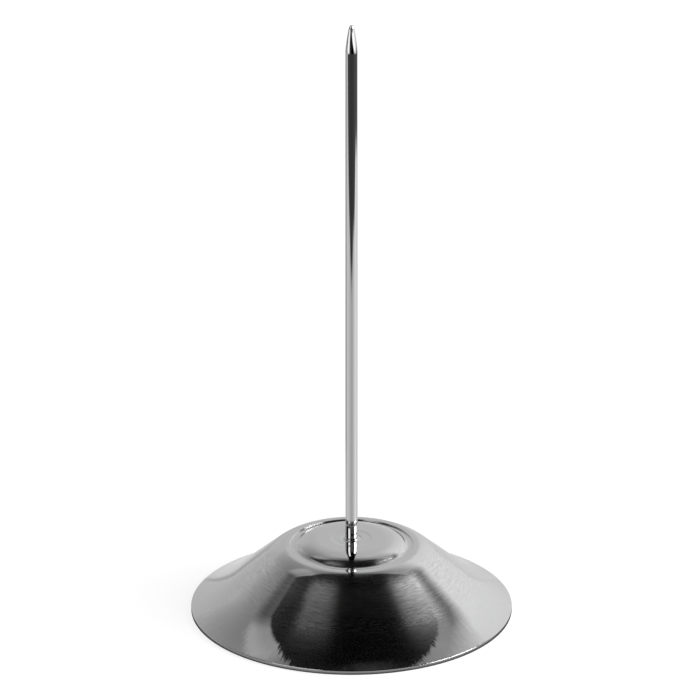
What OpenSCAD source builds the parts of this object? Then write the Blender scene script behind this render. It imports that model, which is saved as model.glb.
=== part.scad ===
// Receipt spike: a pointed steel rod bolted upright through the boss of a hollow sheet steel base.
// Millimetres, +Z up, origin on the table under the rod.

/* [Base] */
// Outside diameter of the base at its rim
base_d = 83.5; // [76:0.5:100]
// Height of the boss above the table
base_h = 20.2; // [17:0.1:23]
// Thickness of the sheet steel
sheet_t = 1.2; // [0.8:0.1:1.5]
// Width of the flat that the rim stands on
land_w = 0.6; // [0.3:0.05:0.9]
// Radius that rounds the corners of the rim's edge
rim_round = 0.15; // [0.05:0.05:0.25]
// Slope of the sheet where it ends at the rim, in degrees
rim_slope = 24; // [14:1:30]
// Width of the flared brim, measured along the radius
flare_w = 10.7; // [6:0.1:13]
// Radius of the bend where the shoulder turns down into the skirt
shoulder_r = 11.5; // [8:0.5:15]

/* [Boss] */
// Diameter of the level top of the boss
boss_top_d = 17; // [16:0.2:18]
// Radius of the crown that rounds the top over
crown_r = 10.5; // [9:0.1:11.8]
// Slope at which the crown turns into the tighter edge, in degrees
crown_slope = 24; // [20:1:26]
// Radius of the boss's edge
boss_edge_r = 3.5; // [2.5:0.1:4.5]
// Slope of the boss's side where it is steepest, in degrees
boss_slope = 46; // [38:1:50]
// Radius of the hollow at the foot of the boss
boss_foot_r = 1.8; // [1.4:0.1:2.2]

/* [Ring] */
// Inside diameter of the raised ring, which leaves a gutter round the boss
ring_d = 32.2; // [31.8:0.2:33.6]
// Height of the ring's step above the gutter
step_h = 0.34; // [0.2:0.02:0.5]
// Slope of the step's face, in degrees
step_slope = 70; // [50:1:80]
// Radius of the step's corners
step_r = 0.1; // [0.06:0.01:0.14]
// Width of the level top of the ring
ring_w = 1; // [0.6:0.1:1.6]
// Radius of the ring's outer edge
ring_round = 2.4; // [1.8:0.1:3]
// Slope at which the ring's edge runs into the shoulder, in degrees
ring_slope = 20; // [12:1:26]

/* [Seat] */
// Outside diameter of the shallow seat pressed into the boss
seat_d = 11.4; // [10:0.2:14]
// Depth of the seat
seat_depth = 0.12; // [0.06:0.02:0.2]
// Width of the seat's rounded edge
seat_edge_w = 1.2; // [1:0.1:1.6]

/* [Spike] */
// Diameter of the rod
rod_d = 3.2; // [3:0.1:4]
// Length of the rod from the seat to its tip
rod_l = 145; // [110:1:200]
// Radius of the bead at the foot of the rod
bead_r = 0.3; // [0.3:0.05:0.6]
// Length of the ground point
tip_l = 7.4; // [5:0.1:12]
// Angle of the edge where the ground point begins, in degrees
tip_edge = 4; // [2:0.5:5]
// Length of the blunt nose at the end of the point
nose_l = 0.8; // [0.6:0.1:1.2]
// Diameter of the point where the nose begins
nose_d = 1.44; // [1.2:0.02:1.6]
// Diameter of the flat end
end_d = 0.7; // [0.5:0.05:0.9]

/* [Fixing] */
// Outside diameter of the thread on the tail
thread_d = 3; // [2.8:0.1:3.2]
// Diameter of the tail at the middle of its thread, where the plain tail and nut meet
tail_d = 2.68; // [2.5:0.02:2.8]
// Length of tail that stands out below the nut
tail_out = 1.2; // [0.5:0.1:3]
// Chamfer at the end of the tail
tail_chamfer = 0.3; // [0.1:0.05:0.6]
// Gap all round the thread in the sheet and the washers
hole_clear = 0.1; // [0.05:0.01:0.15]
// Gap all round the tail in the nut
thread_clear = 0.03; // [0.02:0.01:0.06]
// Outside diameter of the backing washer
washer_d = 9; // [7:0.5:12]
// Thickness of the backing washer
washer_t = 0.8; // [0.5:0.1:1.2]
// Outside diameter of the lock washer
lock_d = 6.2; // [5.6:0.1:7]
// Thickness of the lock washer
lock_t = 0.8; // [0.5:0.1:1.2]
// Width of the split in the lock washer
lock_split = 0.5; // [0.3:0.1:1]
// Slant of the split, in degrees
lock_slant = 30; // [0:5:40]
// Width of the nut across its flats
nut_af = 5.5; // [5.5:0.1:7]
// Height of the nut
nut_h = 2.4; // [1.6:0.1:3]
// Diameter of the nut's flat faces inside their chamfers
nut_face_d = 5.1; // [4.8:0.1:5.4]
// Slope of the nut's chamfers, in degrees
nut_chamfer = 30; // [20:1:40]

/* [Hidden] */
$fn = 96;

// Straight pieces that each bend is divided into
bend_steps = 8;
// Halvings in the search for the skirt's slope
halvings = 40;

// Heights of the stack, from the seat down
seat_z = base_h - seat_depth;
washer_z = seat_z - sheet_t - washer_t;
lock_z = washer_z - lock_t;
nut_z = lock_z - nut_h;
tail_z = nut_z - tail_out;
tip_z = seat_z + rod_l;
hole_d = thread_d + 2 * hole_clear;

// A bend of the sheet is [centre, radius, first slope, last slope] in the plane of the profile.
// The radius is that of the top face, negative where the bend is hollow, and a slope is positive
// where the sheet falls outward.
function normal(slope) = [sin(slope), cos(slope)];
function downhill(slope) = [cos(slope), -sin(slope)];
function bend(start, radius, slope_a, slope_b) = [start - radius * normal(slope_a), radius, slope_a, slope_b];
function corner(point, radius, slope_a, slope_b) =
    bend(point - abs(radius * tan((slope_b - slope_a) / 2)) * downhill(slope_a), radius, slope_a, slope_b);
function bend_end(b) = b[0] + b[1] * normal(b[3]);
function bend_points(b, depth) = [
    for (i = [0 : bend_steps])
        b[0] + (b[1] - depth) * normal(b[2] + (b[3] - b[2]) * i / bend_steps)
];
function face_points(bends, depth) = [for (b = bends) each bend_points(b, depth)];
function reversed(points) = [for (i = [len(points) - 1 : -1 : 0]) points[i]];

// Seat: a hollow bend and a round one that lift the sheet back to the top of the boss
seat_slope = 2 * atan(seat_depth / seat_edge_w);
seat_r = seat_edge_w / (2 * sin(seat_slope));
seat_foot = bend([seat_d / 2 - seat_edge_w, seat_z], -seat_r, 0, -seat_slope);
seat_lip = bend(bend_end(seat_foot), seat_r, -seat_slope, 0);

// Boss: a crown that tightens to an edge, and a hollow foot that runs out level in the gutter
crown = bend([boss_top_d / 2, base_h], crown_r, 0, crown_slope);
boss_edge = bend(bend_end(crown), boss_edge_r, crown_slope, boss_slope);
boss_foot = bend(bend_end(boss_edge), -boss_foot_r, boss_slope, 0);
gutter_z = bend_end(boss_foot)[1];

// Ring: a step up from the gutter, a narrow level top and a round edge
step_top = [ring_d / 2, gutter_z + step_h];
step_low = step_top - step_h * [1 / tan(step_slope), 1];
step_foot = corner(step_low, -step_r, 0, -step_slope);
step_edge = corner(step_top, step_r, -step_slope, 0);
ring_edge = bend(step_top + [ring_w, 0], ring_round, 0, ring_slope);

// Rim: an upright cut edge, as high as leaves the flat of the sheet's underside on the table
edge_h = sheet_t / cos(rim_slope) - land_w * tan(rim_slope);
edge_run = rim_round * tan((90 - rim_slope) / 2);
rim_top = [base_d / 2, edge_h] - edge_run * downhill(rim_slope);
rim_corner = bend(rim_top, rim_round, rim_slope, 90);
rim_foot = bend([base_d / 2, rim_round], rim_round, 90, 180);

// Skirt: the slope at which shoulder, cone and flare together fall from the ring to the rim
skirt_top = bend_end(ring_edge);
skirt_w = rim_top[0] - skirt_top[0];
skirt_drop = skirt_top[1] - rim_top[1];
function shoulder_w(slope) = shoulder_r * (sin(slope) - sin(ring_slope));
function drop_at(slope) =
    shoulder_w(slope) * tan((slope + ring_slope) / 2)
    + (skirt_w - shoulder_w(slope) - flare_w) * tan(slope)
    + flare_w * tan((slope + rim_slope) / 2);
function slope_for(drop, low, high, turns) =
    turns == 0 ? (low + high) / 2
    : drop_at((low + high) / 2) < drop ? slope_for(drop, (low + high) / 2, high, turns - 1)
    : slope_for(drop, low, (low + high) / 2, turns - 1);
skirt_slope = slope_for(skirt_drop, ring_slope, 90, halvings);
shoulder = bend(skirt_top, shoulder_r, ring_slope, skirt_slope);
flare_r = flare_w / (sin(skirt_slope) - sin(rim_slope));
flare = [rim_top + flare_r * normal(rim_slope), -flare_r, skirt_slope, rim_slope];

// Underside of the flare, which stops where it meets the table
land_slope = acos(flare[0][1] / (flare_r + sheet_t));
flare_under = [flare[0], flare[1], skirt_slope, land_slope];

// Profile of a taper that starts at one angle to the axis and bends evenly to reach its end
function taper_end(from, to, angle) = 2 * atan((from[0] - to[0]) / (to[1] - from[1])) - angle;
function taper_points(from, to, angle) =
    let (last = taper_end(from, to, angle), radius = (to[1] - from[1]) / (sin(last) - sin(angle)))
    [
        for (i = [0 : bend_steps])
            let (a = angle + (last - angle) * i / bend_steps)
            [from[0] - radius * (cos(angle) - cos(a)), from[1] + radius * (sin(a) - sin(angle))]
    ];

// Flat ring with its lower face at a height
module ring(outer_d, inner_d, height, z) {
    translate([0, 0, z])
    rotate_extrude()
    translate([inner_d / 2, 0])
    square([(outer_d - inner_d) / 2, height]);
}

// Pressed base: one sheet, open underneath, with the ring's step struck into its top face only
module base_shell() {
    boss = [seat_foot, seat_lip, crown, boss_edge, boss_foot];
    skirt = [ring_edge, shoulder];
    top_bends = concat(boss, [step_foot, step_edge], skirt, [flare, rim_corner, rim_foot]);
    under_bends = concat(boss, skirt, [flare_under]);
    top = concat([[hole_d / 2, seat_z]], face_points(top_bends, 0));
    under = concat([[hole_d / 2, seat_z - sheet_t]], face_points(under_bends, sheet_t));
    color("silver")
    rotate_extrude()
    polygon(concat(top, reversed(under)));
}

// Rod with a ground point, a bead that seats on the boss and a tail for the nut
module spike() {
    rod_r = rod_d / 2;
    shaft_top = [rod_r, tip_z - tip_l];
    nose = [nose_d / 2, tip_z - nose_l];
    tip = [end_d / 2, tip_z];
    tail = [
        [0, tail_z],
        [tail_d / 2 - tail_chamfer, tail_z],
        [tail_d / 2, tail_z + tail_chamfer],
        [tail_d / 2, seat_z]
    ];
    bead = [
        for (i = [0 : bend_steps])
            [rod_r, seat_z] + bead_r * [cos(90 * i / bend_steps), sin(90 * i / bend_steps)]
    ];
    point = concat(
        taper_points(shaft_top, nose, tip_edge),
        taper_points(nose, tip, taper_end(shaft_top, nose, tip_edge)),
        [[0, tip_z]]
    );
    color("gainsboro")
    rotate_extrude()
    polygon(concat(tail, bead, point));
}

// Large flat washer that spreads the nut's pull over the underside of the seat
module backing_washer() {
    color("darkgray")
    ring(washer_d, hole_d, washer_t, washer_z);
}

// Split spring washer, drawn flat under the nut's load
module lock_washer() {
    color("dimgray")
    difference() {
        ring(lock_d, hole_d, lock_t, lock_z);
        translate([lock_d / 2, 0, lock_z + lock_t / 2])
        rotate([lock_slant, 0, 0])
        cube([lock_d, lock_split, 4 * lock_t], center = true);
    }
}

// Hexagon nut with both faces chamfered
module hex_nut() {
    corner_d = nut_af / cos(30);
    chamfer_h = (corner_d - nut_face_d) * tan(nut_chamfer) / 2;
    blank = [
        [tail_d / 2 + thread_clear, 0],
        [nut_face_d / 2, 0],
        [corner_d - nut_face_d / 2, 2 * chamfer_h],
        [corner_d - nut_face_d / 2, nut_h - 2 * chamfer_h],
        [nut_face_d / 2, nut_h],
        [tail_d / 2 + thread_clear, nut_h]
    ];
    color("gray")
    translate([0, 0, nut_z])
    intersection() {
        cylinder(d = corner_d, h = nut_h, $fn = 6);
        rotate_extrude()
        polygon(blank);
    }
}

base_shell();
spike();
backing_washer();
lock_washer();
hex_nut();
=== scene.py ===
"""Dresses the receipt spike: fine turned meshes, steel finishes, a white table and a light tent."""

import math

import bpy
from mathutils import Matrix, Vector


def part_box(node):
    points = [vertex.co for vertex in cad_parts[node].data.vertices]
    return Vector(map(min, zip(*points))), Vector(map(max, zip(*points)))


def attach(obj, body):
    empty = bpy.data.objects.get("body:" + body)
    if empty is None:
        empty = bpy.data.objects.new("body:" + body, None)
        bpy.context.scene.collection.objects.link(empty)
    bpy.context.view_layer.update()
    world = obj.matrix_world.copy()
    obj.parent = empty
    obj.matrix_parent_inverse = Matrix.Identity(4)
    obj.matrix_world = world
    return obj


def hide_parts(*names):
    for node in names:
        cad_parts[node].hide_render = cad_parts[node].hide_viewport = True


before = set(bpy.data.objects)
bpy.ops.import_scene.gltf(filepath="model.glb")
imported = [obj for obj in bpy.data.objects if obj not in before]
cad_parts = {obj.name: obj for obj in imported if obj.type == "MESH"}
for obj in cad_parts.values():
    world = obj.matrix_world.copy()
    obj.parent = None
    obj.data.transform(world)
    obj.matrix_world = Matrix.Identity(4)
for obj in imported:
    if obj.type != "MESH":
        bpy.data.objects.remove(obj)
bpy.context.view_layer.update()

MM = 0.001

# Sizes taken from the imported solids, in millimetres
base_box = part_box("base_shell")
spike_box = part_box("spike")
BASE_D = (base_box[1].x - base_box[0].x) / MM
BASE_H = base_box[1].z / MM
TIP_Z = spike_box[1].z / MM
TAIL_Z = spike_box[0].z / MM

# Sheet of the base, as the solids have it, in millimetres and degrees
SHEET_T = 1.2
LAND_W = 0.6
RIM_ROUND = 0.15
RIM_SLOPE = 24
FLARE_W = 10.7
SHOULDER_R = 11.5
BOSS_TOP_D = 17
CROWN_R = 10.5
CROWN_SLOPE = 24
BOSS_EDGE_R = 3.5
BOSS_SLOPE = 46
BOSS_FOOT_R = 1.8
RING_D = 32.2
STEP_H = 0.34
STEP_SLOPE = 70
STEP_R = 0.1
RING_W = 1
RING_ROUND = 2.4
RING_SLOPE = 20
SEAT_D = 11.4
SEAT_DEPTH = 0.12
SEAT_EDGE_W = 1.2
SEAT_Z = BASE_H - SEAT_DEPTH
HOLE_D = 3.2

# A faint ring round the rod's foot, which only the scene has
MOAT_R = 2.0
MOAT_W = 0.9
MOAT_DEPTH = 0.1

# Rod, point and threaded tail
ROD_D = 3.2
BEAD_R = 0.3
TIP_L = 7.4
TIP_EDGE = 4
NOSE_L = 0.8
NOSE_D = 1.44
END_D = 0.7
THREAD_D = 3
THREAD_CORE_D = 2.42
THREAD_PITCH = 0.5
TAIL_CHAMFER = 0.3
TAIL_END_D = 2.32
# Where a ridge's flat crest ends and where its root starts, in pitches from the crest's middle
CREST_END = 1 / 24
ROOT_START = 5 / 24

# Fineness of the turned meshes. A bend has a ring for every few degrees, and a guard ring close to each of
# its ends, which keeps the shading of the stretch beside it flat
BASE_SEGMENTS = 224
SPIKE_SEGMENTS = 96
BEND_STEP = 3
FEWEST_STEPS = 4
GUARD = 0.03
STRAIGHT_STEPS = 8
MOAT_STEPS = 24
TAPER_STEPS = 24
BEAD_STEP = 6
ROD_STEPS = 48
THREAD_STEPS = 10

NEGLIGIBLE = 1e-6


def sin(degrees):
    return math.sin(math.radians(degrees))


def cos(degrees):
    return math.cos(math.radians(degrees))


def tan(degrees):
    return math.tan(math.radians(degrees))


# Profiles: points (radius, height) in millimetres


def normal(slope):
    """Direction square to a sheet that falls outward at a slope."""
    return Vector((sin(slope), cos(slope)))


def downhill(slope):
    """Direction along a sheet that falls outward at a slope."""
    return Vector((cos(slope), -sin(slope)))


class Bend:
    """An arc of the sheet from one slope to another. The radius is the top face's, negative in a hollow."""

    def __init__(self, start, radius, slope_a, slope_b):
        self.centre = start - radius * normal(slope_a)
        self.radius = radius
        self.slope_a = slope_a
        self.slope_b = slope_b

    def at(self, slope, depth=0):
        return self.centre + (self.radius - depth) * normal(slope)

    def end(self):
        return self.at(self.slope_b)

    def points(self, depth=0, last=None):
        """Points of the arc at a depth under the top face, as far as its own last slope or another."""
        last = self.slope_b if last is None else last
        steps = max(FEWEST_STEPS, round(abs(last - self.slope_a) / BEND_STEP))
        places = [0, GUARD, *range(1, steps), steps - GUARD, steps]
        return [self.at(self.slope_a + (last - self.slope_a) * i / steps, depth) for i in places]


def corner(point, radius, slope_a, slope_b):
    """The bend that rounds the corner where two slopes meet at a point."""
    run = abs(radius * tan((slope_b - slope_a) / 2))
    return Bend(point - run * downhill(slope_a), radius, slope_a, slope_b)


def straight(start, end, steps=STRAIGHT_STEPS):
    """Points between two ends, without the ends."""
    return [start.lerp(end, i / steps) for i in range(1, steps)]


def chain(stretches):
    """One line through several stretches of points, with the straights between them divided."""
    line = list(stretches[0])
    for stretch in stretches[1:]:
        if (stretch[0] - line[-1]).length > NEGLIGIBLE:
            line += straight(line[-1], stretch[0]) + list(stretch)
        else:
            line += stretch[1:]
    return line


def skirt_slope_for(width, drop):
    """Slope at which shoulder, cone and flare together fall by the drop over the width."""
    low, high = RING_SLOPE, 90
    for _ in range(40):
        slope = (low + high) / 2
        shoulder_w = SHOULDER_R * (sin(slope) - sin(RING_SLOPE))
        fall = (
            shoulder_w * tan((slope + RING_SLOPE) / 2)
            + (width - shoulder_w - FLARE_W) * tan(slope)
            + FLARE_W * tan((slope + RIM_SLOPE) / 2)
        )
        low, high = (slope, high) if fall < drop else (low, slope)
    return (low + high) / 2


def moat():
    """The faint ring that the rod's bead leaves in the seat."""
    shares = [i / MOAT_STEPS for i in range(MOAT_STEPS + 1)]
    return [Vector((MOAT_R + MOAT_W * s, SEAT_Z - MOAT_DEPTH * sin(180 * s) ** 2)) for s in shares]


def base_profile():
    """The sheet's section: its top face to the rim's flat, its underside and its hole, met at corners."""
    seat_slope = 2 * math.degrees(math.atan(SEAT_DEPTH / SEAT_EDGE_W))
    seat_r = SEAT_EDGE_W / (2 * sin(seat_slope))
    seat_foot = Bend(Vector((SEAT_D / 2 - SEAT_EDGE_W, SEAT_Z)), -seat_r, 0, -seat_slope)
    seat_lip = Bend(seat_foot.end(), seat_r, -seat_slope, 0)

    crown = Bend(Vector((BOSS_TOP_D / 2, BASE_H)), CROWN_R, 0, CROWN_SLOPE)
    boss_edge = Bend(crown.end(), BOSS_EDGE_R, CROWN_SLOPE, BOSS_SLOPE)
    boss_foot = Bend(boss_edge.end(), -BOSS_FOOT_R, BOSS_SLOPE, 0)
    step_top = Vector((RING_D / 2, boss_foot.end().y + STEP_H))
    step_low = step_top - STEP_H * Vector((1 / tan(STEP_SLOPE), 1))
    step_foot = corner(step_low, -STEP_R, 0, -STEP_SLOPE)
    step_edge = corner(step_top, STEP_R, -STEP_SLOPE, 0)
    ring_edge = Bend(step_top + Vector((RING_W, 0)), RING_ROUND, 0, RING_SLOPE)

    edge_h = SHEET_T / cos(RIM_SLOPE) - LAND_W * tan(RIM_SLOPE)
    edge_run = RIM_ROUND * tan((90 - RIM_SLOPE) / 2)
    rim_top = Vector((BASE_D / 2, edge_h)) - edge_run * downhill(RIM_SLOPE)
    rim_corner = Bend(rim_top, RIM_ROUND, RIM_SLOPE, 90)
    rim_foot = Bend(Vector((BASE_D / 2, RIM_ROUND)), RIM_ROUND, 90, 180)

    skirt_top = ring_edge.end()
    skirt_slope = skirt_slope_for(rim_top.x - skirt_top.x, skirt_top.y - rim_top.y)
    shoulder = Bend(skirt_top, SHOULDER_R, RING_SLOPE, skirt_slope)
    flare_r = FLARE_W / (sin(skirt_slope) - sin(RIM_SLOPE))
    flare_centre = rim_top + flare_r * normal(RIM_SLOPE)
    flare = Bend(flare_centre - flare_r * normal(skirt_slope), -flare_r, skirt_slope, RIM_SLOPE)
    land_slope = math.degrees(math.acos(flare_centre.y / (flare_r + SHEET_T)))

    boss = [seat_foot, seat_lip, crown, boss_edge, boss_foot]
    skirt = [ring_edge, shoulder]
    top_bends = boss + [step_foot, step_edge] + skirt + [flare, rim_corner, rim_foot]
    hole_top = Vector((HOLE_D / 2, SEAT_Z))
    hole_foot = Vector((HOLE_D / 2, SEAT_Z - SHEET_T))
    under_flare = flare.points(SHEET_T, land_slope)
    top = [[hole_top], moat()] + [b.points() for b in top_bends] + [[under_flare[-1]]]
    under = [[hole_foot]] + [b.points(SHEET_T) for b in boss + skirt] + [under_flare]
    return [chain(top), chain(under)[::-1], [hole_foot, hole_top]]


def taper_end(start, end, angle):
    """Angle at which a taper ends that leaves its start at an angle to the axis and bends evenly."""
    return 2 * math.degrees(math.atan((start.x - end.x) / (end.y - start.y))) - angle


def taper(start, end, angle):
    """Points of such a taper."""
    last = taper_end(start, end, angle)
    radius = (end.y - start.y) / (sin(last) - sin(angle))
    angles = [angle + (last - angle) * i / TAPER_STEPS for i in range(TAPER_STEPS + 1)]
    return [start + radius * Vector((cos(a) - cos(angle), sin(a) - sin(angle))) for a in angles]


def thread_radius(height):
    """Radius of the tail's thread at a height, for an angle round it in turns."""
    run_out = min(1, (height - TAIL_Z) / TAIL_CHAMFER)
    chamfer = (TAIL_END_D + run_out * (THREAD_D - TAIL_END_D)) / 2

    def radius(turn):
        place = ((height - TAIL_Z) / THREAD_PITCH - turn) % 1
        fall = (abs(0.5 - place) - CREST_END) / (ROOT_START - CREST_END)
        depth = min(1, max(0, fall))
        ridge = (THREAD_D - depth * (THREAD_D - THREAD_CORE_D)) / 2
        return min(ridge, chamfer)

    return radius


def spike_profile():
    """The spike's section from the foot of its tail to its tip, in stretches that meet at corners."""
    rod_r = ROD_D / 2
    rows = round((SEAT_Z - TAIL_Z) / THREAD_PITCH * THREAD_STEPS)
    heights = [TAIL_Z + (SEAT_Z - TAIL_Z) * i / rows for i in range(rows + 1)]
    tail = [(thread_radius(z), z) for z in heights]
    tail_foot = [Vector((0, TAIL_Z)), tail[0]]

    rod_foot = Vector((rod_r, SEAT_Z))
    bead = [rod_foot + BEAD_R * Vector((cos(a), sin(a))) for a in range(0, 91, BEAD_STEP)]
    bead_foot = [tail[-1], Vector((rod_r + BEAD_R, SEAT_Z))]
    shaft_top = Vector((rod_r, TIP_Z - TIP_L))
    rod = [bead[-1]] + straight(bead[-1], shaft_top, ROD_STEPS) + [shaft_top]

    nose = Vector((NOSE_D / 2, TIP_Z - NOSE_L))
    tip = Vector((END_D / 2, TIP_Z))
    point = taper(shaft_top, nose, TIP_EDGE)
    point += taper(nose, tip, taper_end(shaft_top, nose, TIP_EDGE))[1:]
    flat_end = [tip, Vector((0, TIP_Z))]
    return [tail_foot, tail, bead_foot, bead, rod, point, flat_end]


# Meshes


def new_object(name, data):
    """An object in the scene with its data."""
    made = bpy.data.objects.new(name, data)
    bpy.context.scene.collection.objects.link(made)
    return made


def join_stretches(stretches, closed):
    """One line of points through all stretches, and the places in it where two stretches meet."""
    line, corners = [], set()
    for stretch in stretches:
        line += stretch if not line else stretch[1:]
        corners.add(len(line) - 1)
    if closed:
        line = line[:-1]
        corners = {c % len(line) for c in corners}
    return line, corners


def ring_of(point, segments):
    """One ring of places round the axis, in metres, or a single place for a point on the axis."""
    radius, height = point
    if not callable(radius) and abs(radius) < NEGLIGIBLE:
        return [(0, 0, height * MM)]
    places = []
    for k in range(segments):
        turn = k / segments
        r = radius(turn) if callable(radius) else radius
        places.append((r * MM * cos(360 * turn), r * MM * sin(360 * turn), height * MM))
    return places


def turn_line(line, segments):
    """The places of a line turned about Z, and for each of its points the numbers of its ring's places."""
    vertices, rings = [], []
    for point in line:
        places = ring_of(point, segments)
        rings.append(range(len(vertices), len(vertices) + len(places)))
        vertices += places
    return vertices, rings


def faces_through(rings, segments):
    """Faces from each ring to the next. A ring of one place is a pole."""
    faces = []
    for low, high in zip(rings, rings[1:]):
        for k in range(segments):
            n = (k + 1) % segments
            if len(low) == 1:
                faces.append((low[0], high[n], high[k]))
            elif len(high) == 1:
                faces.append((low[k], low[n], high[0]))
            else:
                faces.append((low[k], low[n], high[n], high[k]))
    return faces


def sharpen(mesh, rings):
    """Marks the edges along some rings as sharp."""
    pairs = [zip(ring, [*ring[1:], ring[0]]) for ring in rings if len(ring) > 1]
    sharp = {frozenset(pair) for ring in pairs for pair in ring}
    for edge in mesh.edges:
        edge.use_edge_sharp = frozenset(edge.vertices) in sharp


def turn_mesh(name, stretches, segments, closed, finishes):
    """Turns a profile about Z, with one finish for each stretch. Rings where two stretches meet are sharp."""
    line, corners = join_stretches(stretches, closed)
    vertices, rings = turn_line(line, segments)
    mesh = bpy.data.meshes.new(name)
    mesh.from_pydata(vertices, [], faces_through(rings + rings[:1] if closed else rings, segments))
    slots = []
    for stretch, finish in zip(stretches, finishes):
        slots += [finish] * ((len(stretch) - 1) * segments)
    mesh.polygons.foreach_set("material_index", slots)
    mesh.shade_smooth()
    sharpen(mesh, [rings[c] for c in corners])
    mesh.validate()
    return new_object(name, mesh)


# Nodes of the materials


WHITE = (1, 1, 1, 1)
# Most values of a noise lie in this range
NOISE_RANGE = (0.3, 0.7)


def put(tree, socket, value):
    """Links a socket to another node's output, or sets its value."""
    if isinstance(value, bpy.types.NodeSocket):
        tree.links.new(value, socket)
    else:
        socket.default_value = value


def add(tree, kind, inputs, **settings):
    """A node with its inputs and settings filled in."""
    made = tree.nodes.new("ShaderNode" + kind)
    for key, value in settings.items():
        setattr(made, key, value)
    for key, value in inputs.items():
        put(tree, made.inputs[key], value)
    return made


def maths(tree, operation, *values):
    return add(tree, "Math", dict(enumerate(values)), operation=operation).outputs[0]


def product(tree, first, *others):
    for other in others:
        first = maths(tree, "MULTIPLY", first, other)
    return first


def total(tree, first, *others):
    for other in others:
        first = maths(tree, "ADD", first, other)
    return first


def remap(tree, value, low, high, to_low=0.0, to_high=1.0, kind="LINEAR"):
    """A value taken from one range to another, held at the ends."""
    inputs = {"Value": value, "From Min": low, "From Max": high, "To Min": to_low, "To Max": to_high}
    return add(tree, "MapRange", inputs, interpolation_type=kind).outputs[0]


def blend(tree, share, first, second):
    """A number between two others."""
    return add(tree, "Mix", {0: share, 2: first, 3: second}, data_type="FLOAT").outputs[0]


def ramp(tree, value, stops):
    """The level at a value from 0 to 1, by stops that each have a place and a level."""
    made = add(tree, "ValToRGB", {0: value})
    elements = made.color_ramp.elements
    while len(elements) < len(stops):
        elements.new(1.0)
    for element, (place, level) in zip(elements, stops):
        element.position = place
        element.color = (level, level, level, 1)
    return made.outputs[0]


def noise(tree, vector, scale=1.0, detail=2.0, roughness=0.5):
    inputs = {"Vector": vector, "Scale": scale, "Detail": detail, "Roughness": roughness}
    return add(tree, "TexNoise", inputs).outputs["Fac"]


def vary(tree, value, low, high):
    """A noise's value spread from one level to another."""
    return remap(tree, value, *NOISE_RANGE, low, high)


def grey(tree, tone):
    return add(tree, "CombineColor", {"Red": tone, "Green": tone, "Blue": tone}).outputs[0]


def bump(tree, height, distance, strength=1.0):
    return add(tree, "Bump", {"Height": height, "Distance": distance, "Strength": strength}).outputs[0]


def metal(tree, inputs):
    return add(tree, "BsdfPrincipled", {"Metallic": 1.0, **inputs}).outputs[0]


def glow(tree, strength):
    return add(tree, "Emission", {"Color": WHITE, "Strength": strength}).outputs[0]


def new_material(name):
    material = bpy.data.materials.new(name)
    material.use_nodes = True
    material.node_tree.nodes.clear()
    return material, material.node_tree


def close(tree, shader):
    """Sends a shader to the material's output."""
    add(tree, "OutputMaterial", {"Surface": shader})


def object_place(tree):
    """A place on the piece, in metres."""
    return add(tree, "TexCoord", {}).outputs["Object"]


def world_place(tree):
    """A place in the scene, in metres."""
    return add(tree, "NewGeometry", {}).outputs["Position"]


def split(tree, vector):
    return add(tree, "SeparateXYZ", {"Vector": vector}).outputs


def round_coordinates(tree, turns, across):
    """Coordinates that run slowly round the axis and fast across the sheet, with no seam, and the radius."""
    x, y, z = split(tree, object_place(tree))
    squares = total(tree, product(tree, x, x), product(tree, y, y))
    radius = maths(tree, "SQRT", squares)
    u = product(tree, maths(tree, "DIVIDE", x, radius), turns)
    v = product(tree, maths(tree, "DIVIDE", y, radius), turns)
    w = product(tree, maths(tree, "SUBTRACT", radius, z), across)
    return add(tree, "CombineXYZ", {"X": u, "Y": v, "Z": w}).outputs[0], radius


# Steel finishes. Lines have a number for their change round the axis and one for their closeness per metre


STEEL = (0.63, 0.63, 0.635, 1)

# Share of the light that the polishing lines scatter, by radius in millimetres
BRUSHED_SHARE = [
    (12.5, 0), (13.3, 0.4), (14.2, 0.4), (15, 0.14), (19.5, 0.14), (22.3, 0.45),
    (24, 0.45), (26, 0.37), (28, 0.29), (30, 0.25), (31, 0.235), (33, 0.16), (36, 0.1), (38, 0.07),
]
POLISH_LINES = (9.0, 2200.0)
POLISH_LINE_TONES = (0.44, 0.86)
BRUSHED_ROUGH = 0.285
BRUSHED_ANISOTROPY = 0.95
QUARTER_TURN = 0.25
POLISH_CLOUDS = 60.0
POLISH_ROUGH = (0.035, 0.06)
# Ripples on the flare, from the first radius on and in full from the second, in metres
RIPPLE_LINES = (24.0, 170.0)
RIPPLE_RADII = (0.033, 0.037)
RIPPLE_HEIGHT = 0.00003

INSIDE_LINES = (4.0, 1500.0)
INSIDE_LINE_TONES = (-0.05, 0.05)
INSIDE_CLOUDS = 140.0
INSIDE_TONES = (0.42, 0.52)
INSIDE_ROUGH = (0.26, 0.4)

ROD_STRETCH = (1.0, 1.0, 0.04)
ROD_LINES = 4000.0
ROD_ROUGH = (0.03, 0.07)
ROD_CLOUDS = 90.0
ROD_DULLING = (0.4, 0.7, 0.0, 0.03)

PLATE_SHADES = (0.85, 1.1)
PLATE_ROUGH_SPREAD = 0.12
GRAIN_HEIGHT = 0.00002


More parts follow.
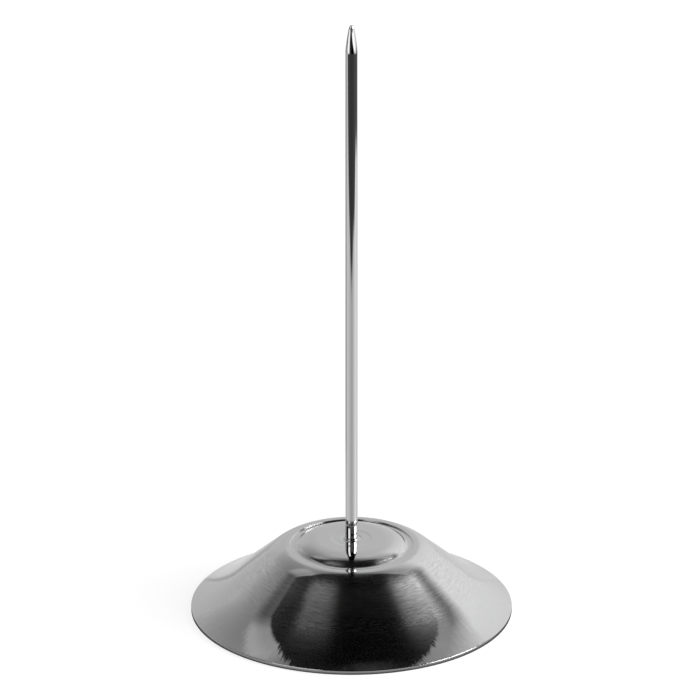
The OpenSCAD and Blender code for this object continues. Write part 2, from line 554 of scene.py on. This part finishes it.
def polished_sheet():
    """Bright pressed steel with fine polishing lines round the skirt and faint ripples on the flare."""
    material, tree = new_material("polished_sheet")
    lines, radius = round_coordinates(tree, *POLISH_LINES)
    streaks = vary(tree, noise(tree, lines, roughness=0.6), *POLISH_LINE_TONES)
    wrinkles, _ = round_coordinates(tree, *RIPPLE_LINES)
    ripple = product(tree, noise(tree, wrinkles), remap(tree, radius, *RIPPLE_RADII))
    cloud = noise(tree, object_place(tree), POLISH_CLOUDS)
    bright = metal(tree, {
        "Base Color": STEEL, "Roughness": vary(tree, cloud, *POLISH_ROUGH),
        "Normal": bump(tree, ripple, RIPPLE_HEIGHT),
    })
    brushed = metal(tree, {
        "Base Color": grey(tree, streaks), "Roughness": BRUSHED_ROUGH,
        "Anisotropic": BRUSHED_ANISOTROPY, "Anisotropic Rotation": QUARTER_TURN,
        "Tangent": add(tree, "Tangent", {}, direction_type="RADIAL", axis="Z").outputs[0],
    })
    out = maths(tree, "DIVIDE", radius, BASE_D / 2 * MM)
    share = ramp(tree, out, [(r / (BASE_D / 2), level) for r, level in BRUSHED_SHARE])
    close(tree, add(tree, "MixShader", {0: share, 1: bright, 2: brushed}).outputs[0])
    return material


def drawn_sheet():
    """The duller inside of the pressing."""
    material, tree = new_material("drawn_sheet")
    lines, _ = round_coordinates(tree, *INSIDE_LINES)
    streaks = noise(tree, lines, detail=3.0)
    cloud = noise(tree, object_place(tree), INSIDE_CLOUDS, detail=3.0)
    tone = total(tree, vary(tree, streaks, *INSIDE_LINE_TONES), vary(tree, cloud, *INSIDE_TONES))
    close(tree, metal(tree, {
        "Base Color": grey(tree, tone), "Roughness": vary(tree, cloud, *INSIDE_ROUGH),
        "Normal": bump(tree, streaks, GRAIN_HEIGHT, strength=0.4),
    }))
    return material


def drawn_rod():
    """Polished rod with faint lines along its length."""
    material, tree = new_material("drawn_rod")
    place = object_place(tree)
    long = add(tree, "VectorMath", {0: place, 1: ROD_STRETCH}, operation="MULTIPLY").outputs[0]
    lines = noise(tree, long, ROD_LINES, detail=3.0)
    cloud = noise(tree, place, ROD_CLOUDS)
    rough = total(tree, vary(tree, lines, *ROD_ROUGH), remap(tree, cloud, *ROD_DULLING))
    close(tree, metal(tree, {"Base Color": STEEL, "Roughness": rough}))
    return material


def plated(name, colour, grain, rough):
    """Small turned fixings: plated steel with a fine grain."""
    material, tree = new_material(name)
    speck = noise(tree, object_place(tree), grain, detail=3.0)
    shade = vary(tree, speck, *PLATE_SHADES)
    close(tree, metal(tree, {
        "Base Color": add(tree, "VectorMath", {0: colour, "Scale": shade}, operation="SCALE").outputs[0],
        "Roughness": vary(tree, speck, rough, rough + PLATE_ROUGH_SPREAD),
        "Normal": bump(tree, speck, GRAIN_HEIGHT, strength=0.3),
    }))
    return material


# Table. Each range below is a start and an end, then the levels there where they aren't 0 and 1. Metres


TABLE_HALF = 8.0
# A hair under the rim, so that the two faces don't coincide
TABLE_Z = -0.00002
PAPER = (0.42, 0.42, 0.42, 1)
SEEN_GLOW = 0.8

# Light that the metal finds on the table, by azimuth in degrees from the front towards +X
TABLE_GLOW = [
    (-180, 0.6), (-150, 0.45), (-108, 0.53), (-85, 0.82), (-60, 0.8), (-30, 0.65), (0, 0.53),
    (30, 0.64), (58, 0.92), (83, 1.1), (115, 0.8), (150, 0.7), (180, 0.6),
]
# The same for what lies far off, which only the point and the back of the brim mirror
FAR_GLOW = [
    (-180, 0.75), (-125, 0.72), (-112, 0.15), (-92, 0.15), (-78, 1.5), (-45, 1.5), (-35, 0.05),
    (12, 0.05), (22, 1.6), (75, 1.6), (92, 0.95), (130, 0.88), (180, 0.8),
]
NEAR_TO_FAR = (0.45, 0.6)
# The far light stops towards the front, by y, between two places across, by x
FAR_FRONT = (-0.05, -0.15)
FAR_LEFT = (-0.05, -0.1)
FAR_RIGHT = (0.4, 0.55)
# Shade close round the rim's foot, by distance from the axis
FOOT_SHADE = ((BASE_D / 2 + 0.4) * MM, (BASE_D / 2 + 2.5) * MM, 0.08, 1.0)
# Light added behind on the right, by y and x
RIGHT_LIGHT_Y = (0.03, 0.06)
RIGHT_LIGHT_X = (-0.03, 0.03, 0.0, 0.1)
# Light added behind on the left and close to the rim, by y, x and distance
LEFT_LIGHT_Y = (0.015, 0.03)
LEFT_LIGHT_X = (-0.02, 0.0, 0.3, 0.0)
LEFT_LIGHT_END = (0.07, 0.11, 1.0, 0.0)
# The lit part ends in front at a straight edge, which turns back on both sides
TABLE_EDGE_Y = -0.215
TABLE_EDGE_X = 0.13
EDGE_BACK_LEFT = 0.55
EDGE_BACK_RIGHT = 0.9
EDGE_BLUR = (-0.015, 0.015, 0.09, 1.0)
# On the right of the front, by x and by turn, it also ends at a distance
ROUND_EDGE_X = (-0.01, 0.01)
ROUND_EDGE_TURN = (0.847, 0.875, 1.0, 0.0)
ROUND_EDGE_END = (0.295, 0.315, 1.0, 0.09)


def by_azimuth(tree, turn, stops):
    return ramp(tree, turn, [(azimuth / 360 + 0.5, level) for azimuth, level in stops])


def light_behind(tree, x, y, distance):
    """Light that is added behind the base, on the right and close to the rim on the left."""
    right = product(tree, remap(tree, y, *RIGHT_LIGHT_Y), remap(tree, x, *RIGHT_LIGHT_X))
    left = product(tree, remap(tree, x, *LEFT_LIGHT_X), remap(tree, y, *LEFT_LIGHT_Y))
    left = product(tree, left, remap(tree, distance, *LEFT_LIGHT_END))
    return maths(tree, "MAXIMUM", right, left)


def lit_part(tree, x, y, turn, distance):
    """1 on the lit part of the table and dark past its edges."""
    past_left = maths(tree, "MAXIMUM", maths(tree, "SUBTRACT", -TABLE_EDGE_X, x), 0.0)
    past_right = maths(tree, "MAXIMUM", maths(tree, "SUBTRACT", x, TABLE_EDGE_X), 0.0)
    back_left = product(tree, past_left, EDGE_BACK_LEFT)
    back_right = product(tree, past_right, EDGE_BACK_RIGHT)
    inside = maths(tree, "SUBTRACT", y, TABLE_EDGE_Y)
    inside = maths(tree, "SUBTRACT", inside, total(tree, back_left, back_right))
    lit = remap(tree, inside, *EDGE_BLUR, kind="SMOOTHSTEP")
    right = product(tree, remap(tree, x, *ROUND_EDGE_X), remap(tree, turn, *ROUND_EDGE_TURN))
    right_end = blend(tree, right, 1.0, remap(tree, distance, *ROUND_EDGE_END))
    return maths(tree, "MINIMUM", lit, right_end)


def far_light(tree, x, y, turn):
    """Light far off on the table, with a gap in front."""
    beyond = maths(tree, "MAXIMUM", remap(tree, x, *FAR_LEFT), remap(tree, x, *FAR_RIGHT))
    open_front = blend(tree, remap(tree, y, *FAR_FRONT), 1.0, beyond)
    return product(tree, by_azimuth(tree, turn, FAR_GLOW), open_front)


def table_glow(tree):
    """The table as the metal mirrors it: dark at the rim's foot and past the lit part, light behind."""
    place = world_place(tree)
    x, y, _ = split(tree, place)
    distance = add(tree, "VectorMath", {0: place}, operation="LENGTH").outputs["Value"]
    angle = maths(tree, "ARCTAN2", x, product(tree, y, -1.0))
    turn = total(tree, maths(tree, "DIVIDE", angle, 2 * math.pi), 0.5)
    level = total(tree, by_azimuth(tree, turn, TABLE_GLOW), light_behind(tree, x, y, distance))
    level = product(tree, level, remap(tree, distance, *FOOT_SHADE))
    near = product(tree, level, lit_part(tree, x, y, turn, distance))
    return blend(tree, remap(tree, distance, *NEAR_TO_FAR), near, far_light(tree, x, y, turn))


def white_table():
    """White table that stays white to the camera, keeps the shadow and has its own light in the metal."""
    material, tree = new_material("white_table")
    rays = add(tree, "LightPath", {}).outputs
    paper = add(tree, "BsdfDiffuse", {"Color": PAPER}).outputs[0]
    seen = glow(tree, product(tree, rays["Is Camera Ray"], SEEN_GLOW))
    white = add(tree, "AddShader", {0: paper, 1: seen}).outputs[0]
    mirrored = glow(tree, table_glow(tree))
    bounced = maths(tree, "MAXIMUM", rays["Is Glossy Ray"], rays["Is Transmission Ray"])
    close(tree, add(tree, "MixShader", {0: bounced, 1: white, 2: mirrored}).outputs[0])
    return material


def build_table():
    corners = [(-1, -1), (1, -1), (1, 1), (-1, 1)]
    mesh = bpy.data.meshes.new("table")
    mesh.from_pydata([(x * TABLE_HALF, y * TABLE_HALF, TABLE_Z) for x, y in corners], [], [(0, 1, 2, 3)])
    mesh.materials.append(white_table())
    piece = new_object("table", mesh)


# Tent. A place on it has an x across, from -1 to 1, and a lean: y over z, 0 overhead and larger further down
# at the back. Each range is a start and an end, then the levels there where they aren't 0 and 1


TENT_R = 3.0
TENT_ROWS = 24
TENT_SEGMENTS = 96
LEAST_Z = 0.001

# Level across, and the fade upward by lean on the left, on the right and in the middle
LEVEL_X = (-0.5, 0.6, 0.58, 1.03)
LEFT_FADE = (0.75, 2.2, 0.52, 1.0)
RIGHT_FADE = (0.5, 1.0)
RIGHT_LEAN_X = (0.55, 0.72, 0.0, 0.25)
RIGHT_LEAST_X = (0.45, 0.65, 0.37, 0.16)
MIDDLE_FADE = (0.36, 0.64, 0.1, 0.78)
MIDDLE_RISE = (0.64, 2.0, 0.0, 0.09)
LEFT_TO_RIGHT = (-0.1, 0.1)
MIDDLE_TO_SIDE = (0.15, 0.35)
# A bright strip on the left, and a shade left of it
STRIP_X_START = (-0.67, -0.59)
STRIP_X_END = (-0.38, -0.30, 1.0, 0.0)
STRIP_LEAN_START = (0.36, 0.5, 0.5, 1.0)
STRIP_LEAN_END = (0.56, 0.65, 0.2, 0.0)
SHADE_X = (-0.56, -0.7)
SHADE_LEAN = (0.42, 0.66, 0.75, 0.0)
# Edge of the dark roof, which lies further overhead on both sides
ROOF_EDGE = (0.345, 0.395, 0.0, 1.0)
ROOF_LEFT_X = (-0.42, -0.25, 0.12, 0.0)
ROOF_RIGHT_X = (0.28, 0.40, 0.0, 0.035)
# A faint light patch overhead, with its x and lean, and a faint light low in front, by y and z
SPOT_PLACE = (0.07, 0.3, 0)
SPOT_FADE = (0.0, 0.16, 0.045, 0.0)
FRONT_Y = (-0.3, -0.5)
FRONT_Z = (0.4, 0.55, 0.12, 0.0)


def tent_fade(tree, x, lean):
    """How the tent's light fades upward in the middle and on both sides."""
    left = remap(tree, lean, *LEFT_FADE)
    right_lean = maths(tree, "SUBTRACT", lean, remap(tree, x, *RIGHT_LEAN_X))
    right = blend(tree, remap(tree, right_lean, *RIGHT_FADE), remap(tree, x, *RIGHT_LEAST_X), 1.0)
    middle = total(tree, remap(tree, lean, *MIDDLE_FADE), remap(tree, lean, *MIDDLE_RISE))
    sides = blend(tree, remap(tree, x, *LEFT_TO_RIGHT), left, right)
    aside = remap(tree, maths(tree, "ABSOLUTE", x), *MIDDLE_TO_SIDE)
    return blend(tree, aside, middle, sides)


def tent_strip(tree, x, lean):
    """The bright strip on the left."""
    across = product(tree, remap(tree, x, *STRIP_X_START), remap(tree, x, *STRIP_X_END))
    up = product(tree, remap(tree, lean, *STRIP_LEAN_START), remap(tree, lean, *STRIP_LEAN_END))
    return product(tree, across, up)


def tent_roof(tree, x, lean):
    """0 under the dark roof and 1 behind it."""
    edge = total(tree, lean, remap(tree, x, *ROOF_LEFT_X), remap(tree, x, *ROOF_RIGHT_X))
    return remap(tree, edge, *ROOF_EDGE, kind="SMOOTHSTEP")


def tent_spot(tree, x, lean):
    """The faint light patch overhead."""
    place = add(tree, "CombineXYZ", {"X": x, "Y": lean}).outputs[0]
    off = add(tree, "VectorMath", {0: place, 1: SPOT_PLACE}, operation="DISTANCE").outputs["Value"]
    return remap(tree, off, *SPOT_FADE)


def tent_cloth():
    """Light of the tent: bright behind, brighter to the right, fading upward, dark overhead and in front."""
    material, tree = new_material("tent_cloth")
    way = add(tree, "VectorMath", {0: world_place(tree)}, operation="NORMALIZE").outputs[0]
    x, y, z = split(tree, way)
    lean = maths(tree, "DIVIDE", y, maths(tree, "MAXIMUM", z, LEAST_Z))
    level = product(tree, remap(tree, x, *LEVEL_X), tent_fade(tree, x, lean))
    shade = product(tree, remap(tree, x, *SHADE_X), remap(tree, lean, *SHADE_LEAN))
    level = product(tree, level, maths(tree, "SUBTRACT", 1.0, shade))
    level = total(tree, level, tent_strip(tree, x, lean))
    level = product(tree, level, tent_roof(tree, x, lean))
    front = product(tree, remap(tree, y, *FRONT_Y), remap(tree, z, *FRONT_Z))
    close(tree, glow(tree, total(tree, level, tent_spot(tree, x, lean), front)))
    return material


def build_tent():
    """A half globe round the table that only lights and mirrors."""
    rises = [90 * i / TENT_ROWS for i in range(TENT_ROWS + 1)]
    arc = [(TENT_R / MM * cos(rise), TENT_R / MM * sin(rise)) for rise in rises]
    vertices, rings = turn_line(arc, TENT_SEGMENTS)
    mesh = bpy.data.meshes.new("tent")
    mesh.from_pydata(vertices, [], faces_through(rings, TENT_SEGMENTS))
    mesh.materials.append(tent_cloth())
    tent = new_object("tent", mesh)
    tent.visible_camera = False


# Lamps, world and camera


LAMP_DISTANCE = 1.5
LAMP_AIM = Vector((0, 0, 0.02))

# The camera stands far away with a long lens, because the photograph's view is almost parallel. It stands no
# further off than this because a view from another side has to stay in the same clip range
VIEW_SIZE = 700
PIXELS_PER_MM = 3.8569
VIEW_RISE = 23.81
VIEW_DISTANCE = 7.0
SENSOR_W = 36
# Where the axis meets the table, in pixels
AXIS_X = 351.5
AXIS_Y = 609.7


def lamp(name, azimuth, rise, width, height, radiance):
    """A soft lamp that looks at the base, from an azimuth counted from the front towards +X."""
    data = bpy.data.lights.new(name, "AREA")
    data.shape = "RECTANGLE"
    data.size = width
    data.size_y = height
    data.energy = radiance * math.pi * width * height
    way = Vector((sin(azimuth) * cos(rise), -cos(azimuth) * cos(rise), sin(rise)))
    piece = new_object(name, data)
    piece.location = LAMP_AIM + way * LAMP_DISTANCE
    piece.rotation_euler = (-way).to_track_quat("-Z", "Y").to_euler()


def build_world():
    world = bpy.data.worlds.new("studio")
    bpy.context.scene.world = world
    world.use_nodes = True
    background = world.node_tree.nodes["Background"]
    background.inputs["Color"].default_value = WHITE
    background.inputs["Strength"].default_value = 1


def build_camera():
    data = bpy.data.cameras.new("camera")
    data.sensor_width = SENSOR_W
    data.lens = PIXELS_PER_MM / MM * VIEW_DISTANCE * SENSOR_W / VIEW_SIZE
    data.clip_end = 2 * VIEW_DISTANCE
    aim = Vector((
        (VIEW_SIZE / 2 - AXIS_X) / PIXELS_PER_MM * MM,
        0,
        (AXIS_Y - VIEW_SIZE / 2) / PIXELS_PER_MM / cos(VIEW_RISE) * MM,
    ))
    camera = new_object("camera", data)
    camera.location = aim + VIEW_DISTANCE * Vector((0, -cos(VIEW_RISE), sin(VIEW_RISE)))
    camera.rotation_euler = (math.radians(90 - VIEW_RISE), 0, 0)
    bpy.context.scene.camera = camera


# Pieces


ZINC = (0.6, 0.61, 0.63)
SPRING = (0.3, 0.3, 0.31)


def build_base():
    """The pressed base, polished outside and dull inside."""
    piece = turn_mesh("base_pressed", base_profile(), BASE_SEGMENTS, closed=True, finishes=[0, 1, 0])
    piece.data.materials.append(polished_sheet())
    piece.data.materials.append(drawn_sheet())
    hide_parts("base_shell")
    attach(piece, "root")


def build_spike():
    """The rod with its point, bead and threaded tail."""
    profile = spike_profile()
    piece = turn_mesh("spike_turned", profile, SPIKE_SEGMENTS, closed=False, finishes=[0] * len(profile))
    piece.data.materials.append(drawn_rod())
    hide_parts("spike")
    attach(piece, "root")


def dress_node(name, material):
    """Gives a piece of the frame its finish."""
    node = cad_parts[name]
    node.data.materials.clear()
    node.data.materials.append(material)


build_base()
build_spike()
zinc_plate = plated("zinc_plate", ZINC, grain=900.0, rough=0.22)
dress_node("backing_washer", zinc_plate)
dress_node("hex_nut", zinc_plate)
dress_node("lock_washer", plated("spring_steel", SPRING, grain=700.0, rough=0.3))

build_table()
build_tent()
lamp("lamp_left", azimuth=-43, rise=36, width=0.8, height=0.9, radiance=1.87)
lamp("lamp_right", azimuth=78, rise=23, width=1.05, height=0.8, radiance=7.2)
build_world()
build_camera()
bpy.context.scene.view_settings.view_transform = "Standard"
